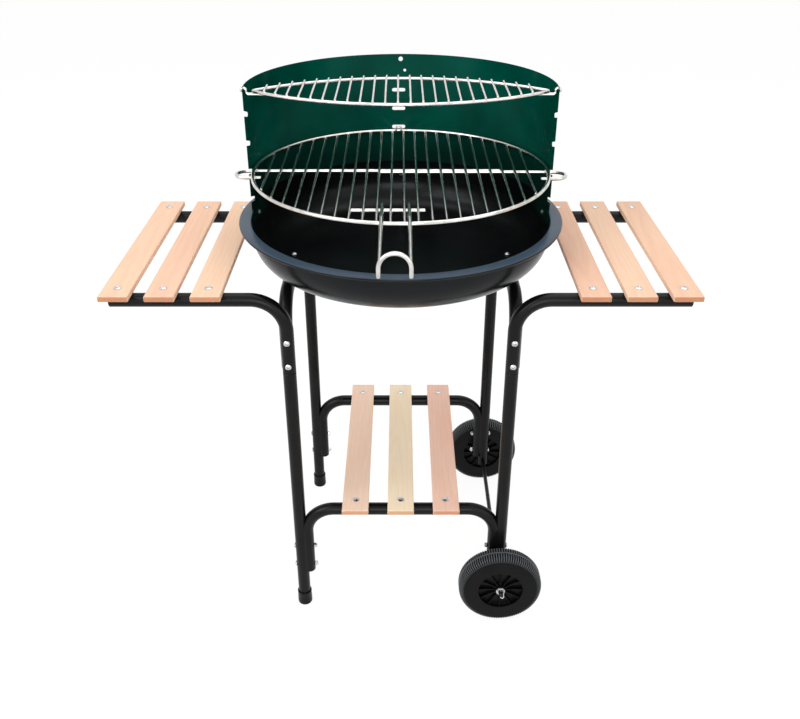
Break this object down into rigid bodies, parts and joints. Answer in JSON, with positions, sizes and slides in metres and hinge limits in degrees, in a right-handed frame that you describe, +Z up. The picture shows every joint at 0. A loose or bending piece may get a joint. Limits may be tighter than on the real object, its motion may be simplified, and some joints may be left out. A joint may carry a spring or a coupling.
{
  "type": "charcoal grill trolley",
  "caption": "Open round charcoal grill on a wheeled tube trolley, with a half-round windshield, draw-out grate, warming grate, slatted side tables and a lower shelf.",
  "frame": {"origin": "centre of the overall footprint, on the ground", "axes": "+X towards the wheeled side, +Y towards the windshield, +Z up"},
  "size_m": [0.9218, 0.7138, 0.9206],
  "materials": {
    "bowl_enamel": "black stove enamel, satin gloss",
    "windshield_enamel": "bottle green stove enamel, gloss",
    "tube_lacquer": "black powder coat, semi-gloss",
    "bright_wire": "bright nickel-chrome plated wire",
    "zinc_plate": "bright zinc-plated steel",
    "axle_steel": "blackened drawn steel rod",
    "slat_wood": "planed untreated pine-like softwood",
    "wheel_plastic": "moulded black plastic",
    "cap_plastic": "moulded black plastic"
  },
  "bodies": {
    "trolley": {"fire_bowl": "bowl_enamel", "windshield": "windshield_enamel", "windshield_screws": "zinc_plate", "windshield_nuts": "zinc_plate", "bowl_bolts": "zinc_plate", "bowl_nuts": "zinc_plate", "cradle_left": "tube_lacquer", "cradle_right": "tube_lacquer", "arm_front_left": "tube_lacquer", "arm_front_right": "tube_lacquer", "arm_rear_left": "tube_lacquer", "arm_rear_right": "tube_lacquer", "leg_front_left": "tube_lacquer", "leg_front_right": "tube_lacquer", "leg_rear_left": "tube_lacquer", "leg_rear_right": "tube_lacquer", "shelf_tube_front": "tube_lacquer", "shelf_tube_rear": "tube_lacquer", "foot_cap_front": "cap_plastic", "foot_cap_rear": "cap_plastic", "arm_end_plugs": "cap_plastic", "joint_bolts": "zinc_plate", "joint_nuts": "zinc_plate", "shelf_tube_bolts": "zinc_plate", "shelf_tube_nuts": "zinc_plate", "table_slat_left_1": "slat_wood", "table_slat_left_2": "slat_wood", "table_slat_left_3": "slat_wood", "table_slat_right_1": "slat_wood", "table_slat_right_2": "slat_wood", "table_slat_right_3": "slat_wood", "shelf_slat_1": "slat_wood", "shelf_slat_2": "slat_wood", "shelf_slat_3": "slat_wood", "table_screws": "zinc_plate", "shelf_screws": "zinc_plate", "axle": "axle_steel", "axle_washers": "zinc_plate", "axle_clips": "zinc_plate"},
    "front_wheel": {"wheel_front_outer": "wheel_plastic", "wheel_front_inner": "wheel_plastic"},
    "rear_wheel": {"wheel_rear_outer": "wheel_plastic", "wheel_rear_inner": "wheel_plastic"},
    "main_grate": {"grate_ring": "bright_wire", "grate_bars": "bright_wire", "grate_crossbar_left": "bright_wire", "grate_crossbar_right": "bright_wire", "grate_anchor_bar": "bright_wire", "grate_handle": "bright_wire", "grate_hook": "bright_wire"},
    "warming_grate": {"warming_rim": "bright_wire", "warming_bars": "bright_wire", "warming_hook_left": "bright_wire", "warming_hook_right": "bright_wire"}
  },
  "joints": [
    {"name": "front_wheel_spin", "type": "hinge", "parent": "trolley", "child": "front_wheel", "pos_m": [0.18074, -0.12716, 0.075], "axis": [0, 1, 0], "continuous": true},
    {"name": "rear_wheel_spin", "type": "hinge", "parent": "trolley", "child": "rear_wheel", "pos_m": [0.18074, 0.30091, 0.075], "axis": [0, 1, 0], "continuous": true},
    {"name": "main_grate_pull", "type": "slide", "parent": "trolley", "child": "main_grate", "axis": [0, -0.9659, 0.2588], "range_m": [0, 0.53]},
    {"name": "warming_grate_lift", "type": "slide", "parent": "trolley", "child": "warming_grate", "axis": [0, 0, 1], "range_m": [0, 0.12]}
  ]
}
